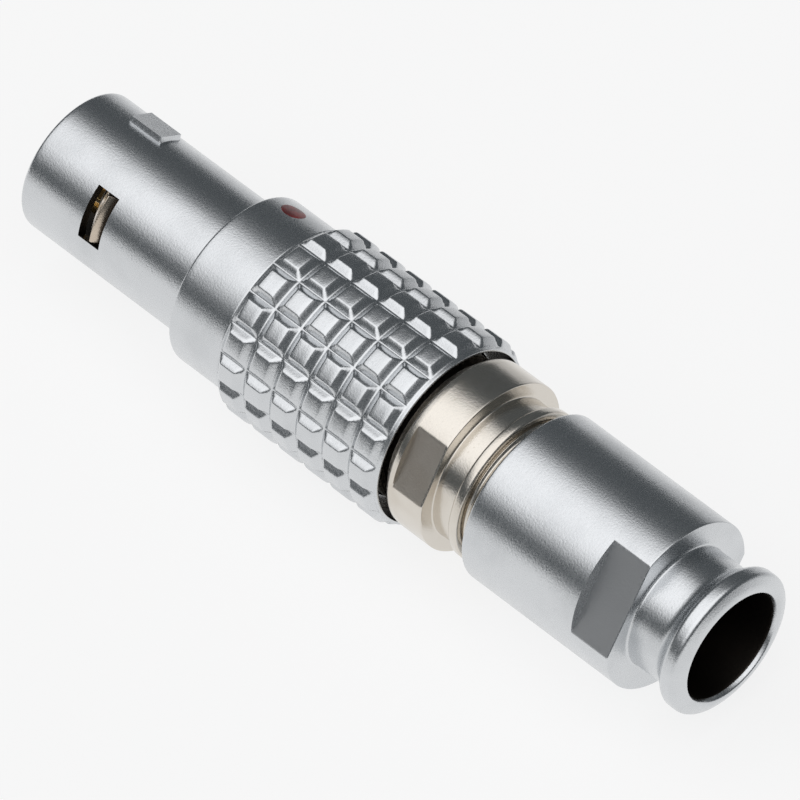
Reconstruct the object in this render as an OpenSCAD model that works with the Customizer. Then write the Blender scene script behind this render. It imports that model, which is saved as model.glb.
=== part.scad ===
// Push pull circular connector: straight cable plug, 9.5 mm grip size.
// Lengths along the plug are stations measured from the mating tip towards
// the cable end. The plug lies on one row of its grip teeth, axis along X,
// with the mating tip towards +X and the floor at Z = 0.

/* [Overall] */
// length from mating tip to cable mouth, mm
plug_len = 39.8; // [36:0.1:44]
// diameter over the tops of the grip teeth, mm
grip_d = 9.5; // [9:0.05:10]
// angle of the key from straight up, towards -Y, degrees
key_roll = 34; // [0:1:90]

/* [Outer shell] */
// outside diameter of the mating nose, mm
nose_d = 6.95; // [6.8:0.05:7.1]
// bore of the mating nose, mm
nose_bore_d = 6; // [5.8:0.05:6.2]
// edge rounding at the mating tip, mm
tip_round = 0.35; // [0.1:0.05:0.4]
// station where the thicker sleeve starts, mm
sleeve_s = 10.03; // [9:0.05:11]
// diameter of the smooth sleeve band, mm
sleeve_d = 8.5; // [8.2:0.05:8.8]
// edge break on the front of the sleeve, mm
sleeve_edge = 0.1; // [0.05:0.05:0.3]
// station of the first ring valley of the grip, mm
knurl_s = 13.24; // [12:0.02:14]
// rows of teeth along the grip
knurl_rows = 6; // [4:1:8]
// teeth around the grip
knurl_teeth = 18; // [12:1:24]
// pitch of the teeth along the grip, mm
knurl_pitch = 1.59; // [1.2:0.01:2]
// depth of the valleys between teeth, mm
knurl_depth = 0.3; // [0.1:0.05:0.4]
// set-back of each tooth flank, mm
knurl_flank = 0.36; // [0.2:0.02:0.5]
// width of the flat floor of the valleys, mm
valley_floor = 0.1; // [0.04:0.01:0.2]
// station of the plain rear rim, mm
rim_s = 22.95; // [22:0.05:24]
// diameter of the rear bore that passes over the collar, mm
rim_bore_d = 8.6; // [8.4:0.02:8.7]
// station where the rear bore steps down, mm
rim_bore_s = 21.7; // [20:0.1:22]
// bore inside the grip, mm
grip_bore_d = 7.5; // [7:0.1:7.8]
// station of the step between nose bore and grip bore, mm
shell_step_s = 14; // [13:0.1:14.2]

/* [Key and index dot] */
// station of the front of the key, mm
key_s = 2.15; // [1:0.05:3]
// length of the key, mm
key_len = 1.85; // [1:0.05:2.5]
// width of the key at its top, mm
key_w = 1.3; // [0.8:0.05:1.6]
// height of the key above the nose, mm
key_h = 0.2; // [0.1:0.01:0.3]
// slope run of the key's sides and ends, mm
key_slope = 0.07; // [0.05:0.01:0.2]
// station of the index dot, mm
dot_s = 11.27; // [10.8:0.01:12]
// diameter of the index dot, mm
dot_d = 1.24; // [0.8:0.02:1.5]
// depth of the index dot's seat, mm
dot_depth = 0.18; // [0.1:0.01:0.3]

/* [Latch] */
// station of the front edge of the latch windows, mm
window_s = 3.59; // [3:0.01:4]
// length of the latch windows along the nose, mm
window_len = 1.26; // [1:0.01:1.5]
// width of the latch windows, mm
window_w = 2.6; // [2:0.05:3]
// width of each latch finger, mm
finger_w = 2.36; // [1.8:0.02:2.8]
// thickness of each latch finger, mm
finger_t = 0.37; // [0.25:0.01:0.4]
// station of the finger's front end, mm
finger_s = 3.78; // [3.7:0.01:3.9]
// station of the finger's root, mm
finger_root_s = 11.7; // [11:0.05:12]
// radius of the latch crest, mm
latch_crest_r = 3.52; // [3.48:0.01:3.6]
// travel of the outer shell that frees the latch, mm
release_travel = 0.8; // [0.5:0.05:0.9]

/* [Latch sleeve and collar] */
// diameter of the collar, mm
collar_d = 8.5; // [8.2:0.02:8.6]
// width across the collar's two wrench flats, mm
collar_flats = 7.92; // [7.8:0.01:8]
// station of the collar's rounded front, mm
collar_s = 23.1; // [23:0.05:24]
// rounding of the collar's front, mm
collar_round = 0.4; // [0.1:0.05:0.4]
// station of the front of the collar flats, mm
collar_flat_s = 23.66; // [23.5:0.02:24]
// station of the collar's rear face, mm
collar_end_s = 25.4; // [24.5:0.05:26]
// diameter of the plain neck behind the collar, mm
groove_d = 7.1; // [6.8:0.05:7.3]
// station of the stop bead, mm
bead_s = 26.58; // [26:0.02:27]
// length of the stop bead, mm
bead_len = 0.5; // [0.3:0.02:0.6]
// diameter of the stop bead, mm
bead_d = 7.64; // [7.2:0.02:7.8]
// major diameter of the rear thread, mm
thread_d = 6.9; // [6.6:0.05:7]
// station where the latch sleeve ends, mm
sleeve_end_s = 31; // [30:0.1:32]
// bore of the latch sleeve's rear part, mm
latch_bore_d = 6; // [5.8:0.05:6.1]

/* [Back nut] */
// diameter of the back nut, mm
nut_d = 8.4; // [8.2:0.02:8.6]
// station of the nut's front face, mm
nut_s = 27.78; // [27.5:0.02:29]
// width across the nut's two wrench flats, mm
nut_flats = 7; // [6.8:0.05:7.2]
// station of the front of the nut flats, mm
nut_flat_s = 34.34; // [33:0.02:35]
// station of the nut's shoulder, mm
shoulder_s = 36.45; // [35:0.05:38]
// turn of the nut flats from straight up, degrees
nut_roll = 53.5; // [0:0.5:180]
// diameter of the nut's neck, mm
neck_d = 6; // [5.8:0.05:6.4]
// diameter of the flange at the cable mouth, mm
flange_d = 7.1; // [6.6:0.02:7.6]
// bore of the cable mouth, mm
cable_bore_d = 5.32; // [5:0.02:5.4]
// pitch of the nut thread, mm
thread_pitch = 0.5; // [0.35:0.05:0.75]

/* [Contacts] */
// contacts on the outer circle
ring_contacts = 6; // [4:1:6]
// radius of the contact circle, mm
contact_circle_r = 1.2; // [1.1:0.05:1.3]
// diameter of a contact pin, mm
pin_d = 0.5; // [0.4:0.05:0.6]
// diameter of a contact's body, mm
contact_body_d = 0.76; // [0.7:0.02:0.8]
// station of the pin tips, mm
pin_tip_s = 1; // [0.5:0.1:2]
// station of the insulator's front face, mm
insulator_s = 3; // [2.5:0.1:3.4]
// diameter of the insulator, mm
insulator_d = 3.6; // [3.4:0.05:3.7]

/* [Fits] */
// running clearance between turned pieces that slide or turn, on radius, mm
run_gap = 0.05; // [0.02:0.01:0.1]
// seating clearance between pieces of one body, on radius, mm
seat_gap = 0.02; // [0.01:0.01:0.05]

/* [Hidden] */
$fn = 96;
eps = 0.02;
grip_r = grip_d / 2;
valley_r = grip_r - knurl_depth;
nose_r = nose_d / 2;
nose_bore_r = nose_bore_d / 2;
sleeve_r = sleeve_d / 2;
tooth_step = 360 / knurl_teeth;
// the lowest row of teeth touches the floor
rest_h = grip_r;
latch_r = nose_bore_r - run_gap;
finger_in_r = latch_r - finger_t;
window_roll = 90 - key_roll;
body_r = grip_bore_d / 2 - 0.07;
collar_r = collar_d / 2;
groove_r = groove_d / 2;
bead_r = bead_d / 2;
thread_r = thread_d / 2;
latch_bore_r = latch_bore_d / 2;
front_bore_r = 2.5;
sleeve_front_s = finger_root_s + 0.05;
sleeve_step_s = shell_step_s + release_travel + 0.2;
nut_r = nut_d / 2;
neck_r = neck_d / 2;
flange_r = flange_d / 2;
cable_r = cable_bore_d / 2;
insulator_r = insulator_d / 2;
insulator_end_s = shell_step_s;
insulator_rim = 0.35;
insulator_rim_len = 0.8;
contact_end_s = insulator_end_s + 1.8;
bushing_s = sleeve_front_s + 0.25;
bushing_rim_s = bushing_s + 0.5;
collet_s = collar_end_s;
bushing_end_s = collet_s - 0.8;
collet_slot_s = collet_s + 4.1;
nut_seat_s = shoulder_s - 0.15;
nut_cone = 0.7;
collet_end_s = nut_seat_s - nut_cone / 2;
collet_cone_s = collet_end_s - 0.65;
collet_r = latch_bore_r - run_gap;
collet_bore_r = cable_r - 0.21;
collet_tooth = 0.12;
half_turn = 180;

chrome = [0.8, 0.81, 0.83];
nickel = [0.72, 0.68, 0.62];
gold = [0.85, 0.68, 0.32];

// puts a shape built along its own Z, from the tip backwards, onto the plug axis
module on_axis() {
  translate([plug_len / 2, 0, rest_h]) rotate([0, -90, 0]) children();
}

// a quarter of round edge as [radius, station] points
function quarter(r, s, e, a0, a1, n = 5) =
  [for (i = [0:n]) [r + e * cos(a0 + (a1 - a0) * i / n), s + e * sin(a0 + (a1 - a0) * i / n)]];

module turned(points) {
  rotate_extrude() polygon(points);
}

module pipe(r_out, r_in, s0, s1) {
  translate([0, 0, s0]) difference() {
    cylinder(r = r_out, h = s1 - s0);
    translate([0, 0, -eps]) cylinder(r = r_in, h = s1 - s0 + 2 * eps);
  }
}

// two opposed wrench flats, cut from s0 to s1
module flats(across, roll, s0, s1) {
  for (turn = [0, half_turn]) rotate([0, 0, roll + turn])
    translate([across / 2, -grip_r, s0]) cube([grip_r, 2 * grip_r, s1 - s0]);
}

// the strip of space that one latch finger or window fills
module milled_strip(roll, width, s0, s1) {
  rotate([0, 0, roll]) translate([2, -width / 2, s0]) cube([3, width, s1 - s0]);
}

function knurl_profile() = [for (k = [0:knurl_rows - 1]) each [
  [valley_r, knurl_s + k * knurl_pitch - valley_floor / 2],
  [valley_r, knurl_s + k * knurl_pitch + valley_floor / 2],
  [grip_r, knurl_s + k * knurl_pitch + knurl_flank],
  [grip_r, knurl_s + (k + 1) * knurl_pitch - knurl_flank]]];

module shell_body() {
  turned(concat(
    [[nose_bore_r + 0.12, 0]],
    quarter(nose_r - tip_round, tip_round, tip_round, -90, 0),
    [[nose_r, sleeve_s], [sleeve_r - sleeve_edge, sleeve_s], [sleeve_r, sleeve_s + sleeve_edge],
     [sleeve_r, knurl_s - 0.1]],
    knurl_profile(),
    [[valley_r, knurl_s + knurl_rows * knurl_pitch - valley_floor / 2], [valley_r, rim_s],
     [rim_bore_d / 2, rim_s],
     [rim_bore_d / 2, rim_bore_s], [grip_bore_d / 2, rim_bore_s], [grip_bore_d / 2, shell_step_s],
     [nose_bore_r, shell_step_s], [nose_bore_r, 0.12]]));
}

// one long valley between two rows of teeth, a hair above the ring valleys
module long_valley() {
  floor_x = valley_r + 0.01;
  floor_w = valley_floor / 2;
  slope = (knurl_flank - floor_w) / (grip_r - floor_x);
  reach = 2 * knurl_depth;
  translate([0, 0, knurl_s - valley_floor]) linear_extrude(height = rim_s - knurl_s + 2 * valley_floor)
    polygon([[floor_x, -floor_w], [floor_x + reach, -floor_w - slope * reach],
             [floor_x + reach, floor_w + slope * reach], [floor_x, floor_w]]);
}

// raised key: one slope all round, cut to the nose by its two side views
module key_block() {
  top = nose_r + key_h;
  foot = nose_r - 0.1;
  run = key_slope * (top - foot) / key_h;
  rotate([0, 0, -key_roll]) intersection() {
    translate([0, 0, key_s - run]) linear_extrude(height = key_len + 2 * run)
      polygon([[foot, -key_w / 2 - run], [top, -key_w / 2], [top, key_w / 2], [foot, key_w / 2 + run]]);
    rotate([90, 0, 0]) translate([0, 0, -key_w]) linear_extrude(height = 2 * key_w)
      polygon([[foot, key_s - run], [top, key_s], [top, key_s + key_len], [foot, key_s + key_len + run]]);
  }
}

module dot_seat(d, s_depth) {
  rotate([0, 0, -key_roll]) translate([sleeve_r - s_depth, 0, dot_s]) rotate([0, 90, 0])
    cylinder(d = d, h = s_depth + 1);
}

module outer_shell() {
  color(chrome) on_axis() difference() {
    union() {
      shell_body();
      key_block();
    }
    for (i = [0:knurl_teeth - 1]) rotate([0, 0, (i + 0.5) * tooth_step]) long_valley();
    for (turn = [0, half_turn])
      milled_strip(window_roll + turn, window_w, window_s, window_s + window_len);
    dot_seat(dot_d + 2 * seat_gap, dot_depth);
  }
}

module index_dot() {
  color([0.72, 0.05, 0.05]) on_axis() intersection() {
    dot_seat(dot_d, dot_depth - seat_gap);
    cylinder(r = sleeve_r - 0.03, h = plug_len);
  }
}

module latch_sleeve() {
  color(nickel) on_axis() difference() {
    turned(concat(
      [[front_bore_r, sleeve_front_s], [latch_r, sleeve_front_s], [latch_r, sleeve_step_s],
       [body_r, sleeve_step_s], [body_r, collar_s - 0.25], [collar_r - collar_round, collar_s]],
      quarter(collar_r - collar_round, collar_s + collar_round, collar_round, -60, 0, 4),
      [[collar_r, collar_end_s - 0.06], [collar_r - 0.06, collar_end_s],
       [groove_r + 0.06, collar_end_s], [groove_r, collar_end_s + 0.06],
       [groove_r, bead_s], [bead_r - 0.12, bead_s], [bead_r, bead_s + 0.14],
       [bead_r, bead_s + bead_len - 0.2], [bead_r - 0.2, bead_s + bead_len],
       [thread_r, bead_s + bead_len],
       [thread_r, sleeve_end_s - 0.2], [thread_r - 0.2, sleeve_end_s],
       [latch_bore_r, sleeve_end_s], [latch_bore_r, sleeve_step_s + 0.15],
       [front_bore_r, sleeve_step_s + 0.15]]));
    flats(collar_flats, window_roll, collar_flat_s, collar_end_s + eps);
  }
}

// a sprung finger with its latch head at the front end
module latch_finger(roll) {
  color(nickel) on_axis() intersection() {
    turned([[finger_in_r, finger_s], [finger_in_r + 0.28, finger_s],
            [latch_crest_r - 0.02, finger_s + 0.5], [latch_crest_r, finger_s + 0.56],
            [latch_crest_r - 0.4, finger_s + 0.92], [latch_r, finger_s + 0.92],
            [latch_r, finger_root_s], [finger_in_r, finger_root_s]]);
    milled_strip(roll, finger_w, finger_s - eps, finger_root_s + eps);
  }
}

module latch_finger_a() {
  latch_finger(window_roll);
}

module latch_finger_b() {
  latch_finger(window_roll + half_turn);
}

module contact_insulator() {
  rim_r = insulator_r + insulator_rim;
  rim_end_s = bushing_rim_s + insulator_rim_len;
  color([0.16, 0.13, 0.1]) on_axis() difference() {
    turned([[0, insulator_s], [insulator_r - 0.1, insulator_s], [insulator_r, insulator_s + 0.1],
            [insulator_r, bushing_rim_s], [rim_r, bushing_rim_s], [rim_r, rim_end_s],
            [insulator_r, rim_end_s], [insulator_r, insulator_end_s], [0, insulator_end_s]]);
    for (n = [1:ring_contacts + 1]) at_contact(n) {
      translate([0, 0, insulator_s - eps]) cylinder(d = pin_d + 2 * seat_gap, h = 1);
      translate([0, 0, insulator_s + 0.4])
        cylinder(d = contact_body_d + 2 * seat_gap, h = insulator_end_s);
    }
  }
}

// contact 1 is the middle one, the rest stand on the contact circle
module at_contact(n) {
  rotate([0, 0, -key_roll + (n - 1.5) * 360 / ring_contacts])
    translate([n == 1 ? 0 : contact_circle_r, 0, 0]) children();
}

module pin_contact(n) {
  body_s = insulator_s + 0.42;
  pin_r = pin_d / 2;
  color(gold) on_axis() at_contact(n) difference() {
    turned([[0, pin_tip_s], [pin_r * 0.55, pin_tip_s + 0.03], [pin_r, pin_tip_s + 0.2],
            [pin_r, body_s], [contact_body_d / 2, body_s], [contact_body_d / 2, contact_end_s],
            [0, contact_end_s]]);
    translate([0, 0, contact_end_s - 1.5]) cylinder(d = contact_body_d - 0.2, h = 2);
    translate([0.1, -1, contact_end_s - 1]) cube([2, 2, 2]);
  }
}

module pin_contact_1() {
  pin_contact(1);
}

module pin_contact_2() {
  pin_contact(2);
}

module pin_contact_3() {
  pin_contact(3);
}

module pin_contact_4() {
  pin_contact(4);
}

module pin_contact_5() {
  pin_contact(5);
}

module pin_contact_6() {
  pin_contact(6);
}

module pin_contact_7() {
  pin_contact(7);
}

// half of the split carrier that grips the insulator and fills the latch sleeve
module half_bushing(turn) {
  seat_r = insulator_r + seat_gap;
  rim_r = seat_r + insulator_rim;
  rim_end_s = bushing_rim_s + insulator_rim_len + seat_gap;
  chamber_r = insulator_r + 0.25;
  chamber_s = insulator_end_s + 0.1;
  step_s = sleeve_step_s + 0.2;
  color([0.78, 0.76, 0.7]) on_axis() intersection() {
    turned([[seat_r, bushing_s], [front_bore_r - seat_gap, bushing_s],
            [front_bore_r - seat_gap, step_s], [latch_bore_r - seat_gap, step_s],
            [latch_bore_r - seat_gap, bushing_end_s], [chamber_r, bushing_end_s],
            [chamber_r, chamber_s], [seat_r, chamber_s], [seat_r, rim_end_s], [rim_r, rim_end_s],
            [rim_r, bushing_rim_s - seat_gap], [seat_r, bushing_rim_s - seat_gap]]);
    rotate([0, 0, turn - key_roll]) translate([seat_gap, -grip_r, 0])
      cube([grip_r, 2 * grip_r, plug_len]);
  }
}

module half_bushing_a() {
  half_bushing(0);
}

module half_bushing_b() {
  half_bushing(half_turn);
}

module cable_collet() {
  slot_w = 0.5;
  ring_pitch = 0.7;
  ring_s = collet_cone_s - 0.1;
  deep_r = collet_bore_r + collet_tooth;
  color([0.7, 0.66, 0.58]) on_axis() difference() {
    turned(concat(
      [[collet_bore_r, collet_s], [collet_r, collet_s], [collet_r, collet_cone_s],
       [cable_r - 0.06, collet_end_s], [collet_bore_r, collet_end_s]],
      [for (k = [0:2]) each [[collet_bore_r, ring_s - k * ring_pitch],
                             [deep_r, ring_s - 0.2 - k * ring_pitch],
                             [deep_r, ring_s - 0.4 - k * ring_pitch],
                             [collet_bore_r, ring_s - 0.4 - k * ring_pitch]]]));
    for (turn = [0, half_turn / 2]) rotate([0, 0, turn]) translate([-slot_w / 2, -grip_r, collet_slot_s])
      cube([slot_w, 2 * grip_r, plug_len]);
  }
}

module back_nut() {
  color(chrome) on_axis() difference() {
    turned(concat(
      [[thread_r + run_gap, nut_s], [nut_r - 0.08, nut_s], [nut_r, nut_s + 0.08],
       [nut_r, shoulder_s - 0.05], [nut_r - 0.05, shoulder_s], [neck_r + 0.1, shoulder_s],
       [neck_r, shoulder_s + 0.1], [neck_r, plug_len - 1.65], [neck_r + 0.06, plug_len - 1.4],
       [neck_r + 0.22, plug_len - 1.2]],
      [[flange_r - 0.1, plug_len - 1.05], [flange_r, plug_len - 0.9], [flange_r, plug_len - 0.36],
       [flange_r - 0.06, plug_len - 0.24], [flange_r - 0.2, plug_len - 0.15],
       [cable_r + 0.32, plug_len - 0.02], [cable_r + 0.2, plug_len], [cable_r, plug_len - 0.18],
       [cable_r, nut_seat_s], [collet_r + run_gap, nut_seat_s - nut_cone],
       [collet_r + run_gap, sleeve_end_s + 1.2],
       [thread_r + run_gap, sleeve_end_s + 1.2]]));
    flats(nut_flats, nut_roll, nut_flat_s, shoulder_s + eps);
  }
}

outer_shell();
index_dot();
latch_sleeve();
latch_finger_a();
latch_finger_b();
contact_insulator();
pin_contact_1();
pin_contact_2();
pin_contact_3();
pin_contact_4();
pin_contact_5();
pin_contact_6();
pin_contact_7();
half_bushing_a();
half_bushing_b();
cable_collet();
back_nut();
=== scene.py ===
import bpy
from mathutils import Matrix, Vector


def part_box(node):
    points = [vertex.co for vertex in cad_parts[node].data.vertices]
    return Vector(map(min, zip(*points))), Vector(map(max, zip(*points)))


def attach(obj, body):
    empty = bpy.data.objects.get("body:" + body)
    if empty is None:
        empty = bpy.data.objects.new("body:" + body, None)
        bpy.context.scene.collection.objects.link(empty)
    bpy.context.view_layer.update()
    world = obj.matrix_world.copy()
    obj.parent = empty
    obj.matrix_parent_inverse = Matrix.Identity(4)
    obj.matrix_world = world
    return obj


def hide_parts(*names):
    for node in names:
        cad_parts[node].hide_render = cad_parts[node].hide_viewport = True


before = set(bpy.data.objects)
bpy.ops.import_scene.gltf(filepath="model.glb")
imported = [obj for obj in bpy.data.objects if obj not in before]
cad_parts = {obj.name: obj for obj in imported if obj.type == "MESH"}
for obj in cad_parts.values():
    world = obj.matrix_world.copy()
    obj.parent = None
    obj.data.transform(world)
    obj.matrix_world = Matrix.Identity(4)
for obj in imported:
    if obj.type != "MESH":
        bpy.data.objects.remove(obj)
"""Push pull circular connector plug: the turned pieces, their finishes, the light and the camera."""

import logging
import math
from bisect import insort
from collections.abc import Callable, Iterable, Mapping, Sequence
from dataclasses import dataclass, field
from enum import Enum
from typing import Any

import bmesh
import bpy
from mathutils import Matrix, Vector

LOG = logging.getLogger("plug")
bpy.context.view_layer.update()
MM = 0.001

Point = tuple[float, float]
Colour = tuple[float, float, float]


class Body(str, Enum):
    """The moving bodies of the plug."""

    CORE = "core"
    SHELL = "outer_shell"
    FINGER_A = "latch_finger_a"
    FINGER_B = "latch_finger_b"
    COLLET = "cable_collet"
    NUT = "back_nut"


class Slot(str, Enum):
    """The finishes that the pieces carry."""

    SHELL = "satin_chrome_shell"
    NUT = "satin_chrome_nut"
    SLEEVE = "nickel_sleeve"
    FINGER = "nickel_finger"
    BUSHING = "bushing_metal"
    COLLET = "collet_metal"
    CONTACT = "gold_contact"
    INSULATOR = "dark_insulator"
    DOT = "red_index"


class Detail(Enum):
    """Finishes of single faces of a piece; the bore finish is painted shade, a near-black standing in for
    the shade inside the bores and the window walls.
    """

    NUT_FLAT = "milled_chrome_flat"
    COLLAR_FLAT = "milled_nickel_flat"
    PAINTED_SHADE_BORE = "dark_bore"


class Skin(Enum):
    """Which side of a turned piece a row of points lies on."""

    OUTER = "outer"
    INNER = "inner"


# ---------------------------------------------------------------- the axis


@dataclass(frozen=True)
class PlugAxis:
    """The line that every turned piece shares, in the plug's own measures."""

    tip_x: float
    height: float

    @classmethod
    def from_frame(cls) -> "PlugAxis":
        """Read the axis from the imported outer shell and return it."""
        low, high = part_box("outer_shell")
        return cls(tip_x=high[0], height=(low[2] + high[2]) / 2)

    def point(self, station: float, radius: float, angle: float) -> Vector:
        """Place a point of the plug.

        Args:
            station: distance from the mating tip, in mm.
            radius: distance from the axis, in mm.
            angle: angle from straight up towards +Y, in degrees.

        Returns:
            The point in metres.
        """
        turn = math.radians(angle)
        return Vector((
            self.tip_x - station * MM,
            radius * math.sin(turn) * MM,
            self.height + radius * math.cos(turn) * MM,
        ))

    def measure(self, spot: Vector) -> Point:
        """Return a point's station and its distance from the axis, in mm."""
        return (self.tip_x - spot.x) / MM, math.hypot(spot.y, spot.z - self.height) / MM

    def outward(self, spot: Vector, normal: Vector) -> float:
        """Return how far a face at spot turns away from the axis, from -1 to 1."""
        across = normal.y * spot.y + normal.z * (spot.z - self.height)
        return across / math.hypot(spot.y, spot.z - self.height)


# ------------------------------------------------------------ small maths


def soft_min(a: float, b: float, reach: float) -> float:
    """Return the lower of a and b, with the corner between them rounded over reach."""
    near = max(reach - abs(a - b), 0.0) / reach
    return min(a, b) - near * near * reach / 4


def soft_max(a: float, b: float, reach: float) -> float:
    """Return the higher of a and b, with the corner between them rounded over reach."""
    return -soft_min(-a, -b, reach)


def angle_off(angle: float, centre: float) -> float:
    """Return angle - centre, brought into -180 to 180 degrees."""
    return (angle - centre + 180) % 360 - 180


def even_angles(count: int) -> list[float]:
    """Return count angles spread evenly round the axis, in degrees."""
    return [360 * i / count for i in range(count)]


def with_lines(lines: Sequence[float], extra: Iterable[float], apart: float) -> list[float]:
    """Add lines to a sorted list, and drop the old ones that they crowd.

    Args:
        lines: the sorted lines.
        extra: the lines that must be there.
        apart: the least distance from an extra line to an old one.

    Returns:
        The new sorted list.
    """
    wanted = sorted(extra)
    kept = [a for a in lines if all(abs(a - b) > apart for b in wanted)]
    for line in wanted:
        insort(kept, line)
    return kept


@dataclass(frozen=True)
class Corner:
    """One corner of a turned outline, in mm, and how far its edge is broken."""

    station: float
    radius: float
    edge: float = 0.0


def outline(corners: Sequence[Corner], closed: bool = True, steps: int = 4) -> list[Point]:
    """Round the corners of an outline and add lines beside each edge.

    Args:
        corners: the outline's corners in order.
        closed: whether the last corner joins the first.
        steps: how many pieces a rounded corner has.

    Returns:
        The points as (station, radius), in mm.
    """
    count = len(corners)
    points: list[Point] = []
    for k, corner in enumerate(corners):
        here = Vector((corner.station, corner.radius))
        ends = not closed and k in (0, count - 1)
        if ends or corner.edge <= 0:
            points.append((here.x, here.y))
            continue
        before = corners[(k - 1) % count]
        after = corners[(k + 1) % count]
        back = Vector((before.station, before.radius)) - here
        ahead = Vector((after.station, after.radius)) - here
        cut = min(corner.edge, 0.48 * back.length, 0.48 * ahead.length)
        start, stop = here + back.normalized() * cut, here + ahead.normalized() * cut
        if back.length > 6 * cut:
            side = here + back.normalized() * cut * 2.2
            points.append((side.x, side.y))
        for n in range(steps + 1):
            t = n / steps
            spot = start * (1 - t) ** 2 + here * 2 * t * (1 - t) + stop * t * t
            points.append((spot.x, spot.y))
        if ahead.length > 6 * cut:
            side = here + ahead.normalized() * cut * 2.2
            points.append((side.x, side.y))
    return points


# ------------------------------------------------------------ mesh makers


def piece_from(bm: bmesh.types.BMesh, name: str, sharp: float = 40.0) -> bpy.types.Object:
    """Turn a bmesh into a smooth piece of the scene.

    Args:
        bm: the mesh, in metres; it is freed.
        name: the piece's name.
        sharp: edges that bend more than this stay crisp, in degrees.

    Returns:
        The new object.
    """
    bmesh.ops.remove_doubles(bm, verts=bm.verts, dist=1e-8)
    bmesh.ops.recalc_face_normals(bm, faces=bm.faces)
    mesh = bpy.data.meshes.new(name)
    bm.to_mesh(mesh)
    bm.free()
    mesh.shade_smooth()
    mesh.set_sharp_from_angle(angle=math.radians(sharp))
    piece = bpy.data.objects.new(name, mesh)
    bpy.context.scene.collection.objects.link(piece)
    return piece


@dataclass
class RingMesh:
    """A skin of rings round the axis, row by row."""

    axis: PlugAxis
    angles: Sequence[float]
    rows: list[list[bmesh.types.BMVert]] = field(default_factory=list)
    bm: bmesh.types.BMesh = field(default_factory=bmesh.new)

    def add_row(self, place: Callable[[float], tuple[float, float, float]]) -> None:
        """Add one ring; place gives (station, radius, angle) for each of the ring's angles."""
        self.rows.append([self.bm.verts.new(self.axis.point(*place(a))) for a in self.angles])

    def skin(self, closed: bool, skip: Callable[[int, int], bool] | None = None) -> None:
        """Join the rows with faces.

        Args:
            closed: whether the last row joins the first.
            skip: says which face, by row and column, is left open.
        """
        count = len(self.angles)
        last = len(self.rows) if closed else len(self.rows) - 1
        for j in range(last):
            here, ahead = self.rows[j], self.rows[(j + 1) % len(self.rows)]
            for i in range(count):
                if skip and skip(j, i):
                    continue
                k = (i + 1) % count
                self.bm.faces.new((here[i], here[k], ahead[k], ahead[i]))

    def wall(self, left: Sequence[bmesh.types.BMVert], right: Sequence[bmesh.types.BMVert]) -> None:
        """Join two equal strings of points with a strip of faces."""
        for n in range(len(left) - 1):
            self.bm.faces.new((left[n], left[n + 1], right[n + 1], right[n]))


def turned(
    name: str,
    axis: PlugAxis,
    points: Sequence[Point],
    angles: Sequence[float],
    shape: Callable[[float, float, float], tuple[float, float, float]] | None = None,
    closed: bool = True,
    sharp: float = 40.0,
) -> bpy.types.Object:
    """Turn an outline round the axis.

    Args:
        name: the piece's name.
        axis: the plug's axis.
        points: the outline as (station, radius), in mm.
        angles: the angles of the columns, in degrees.
        shape: moves a point, given and returned as (station, radius, angle).
        closed: whether the outline's last point joins its first.
        sharp: edges that bend more than this stay crisp, in degrees.

    Returns:
        The new piece.
    """
    skin = RingMesh(axis, angles)
    move = shape or (lambda s, r, a: (s, r, a))
    for station, radius in points:
        skin.add_row(lambda a, s=station, r=radius: move(s, r, a))
    skin.skin(closed)
    return piece_from(skin.bm, name, sharp)


@dataclass(frozen=True)
class WrenchFlats:
    """Two opposed flats milled on a turned piece, in mm and degrees."""

    across: float
    roll: float
    start: float
    stop: float

    def lines(self, radius: float) -> list[float]:
        """Return the angles at which the flats meet a round of this radius."""
        reach = math.degrees(math.acos(min(1.0, self.across / 2 / radius)))
        spread = (-reach, -reach * 0.5, 0.0, reach * 0.5, reach)
        return sorted((self.roll + turn + off) % 360 for turn in (0, 180) for off in spread)

    def cut(self, station: float, radius: float, angle: float) -> float:
        """Return the radius at a point once the flats are milled."""
        if not self.start - 1e-6 <= station <= self.stop + 1e-6:
            return radius
        for turn in (0, 180):
            off = math.radians(angle_off(angle, self.roll + turn))
            if math.cos(off) > 0:
                radius = min(radius, self.across / 2 / math.cos(off))
        return radius

    def holds(self, spot: Vector, axis: PlugAxis) -> bool:
        """Say whether a point, in metres, lies on one of the flats."""
        station = axis.measure(spot)[0]
        turn = math.radians(self.roll)
        out = abs(spot.y * math.sin(turn) + (spot.z - axis.height) * math.cos(turn)) / MM
        return self.start <= station <= self.stop - 0.08 and abs(out - self.across / 2) < 0.004


# -------------------------------------------------------------- shader kit


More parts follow.
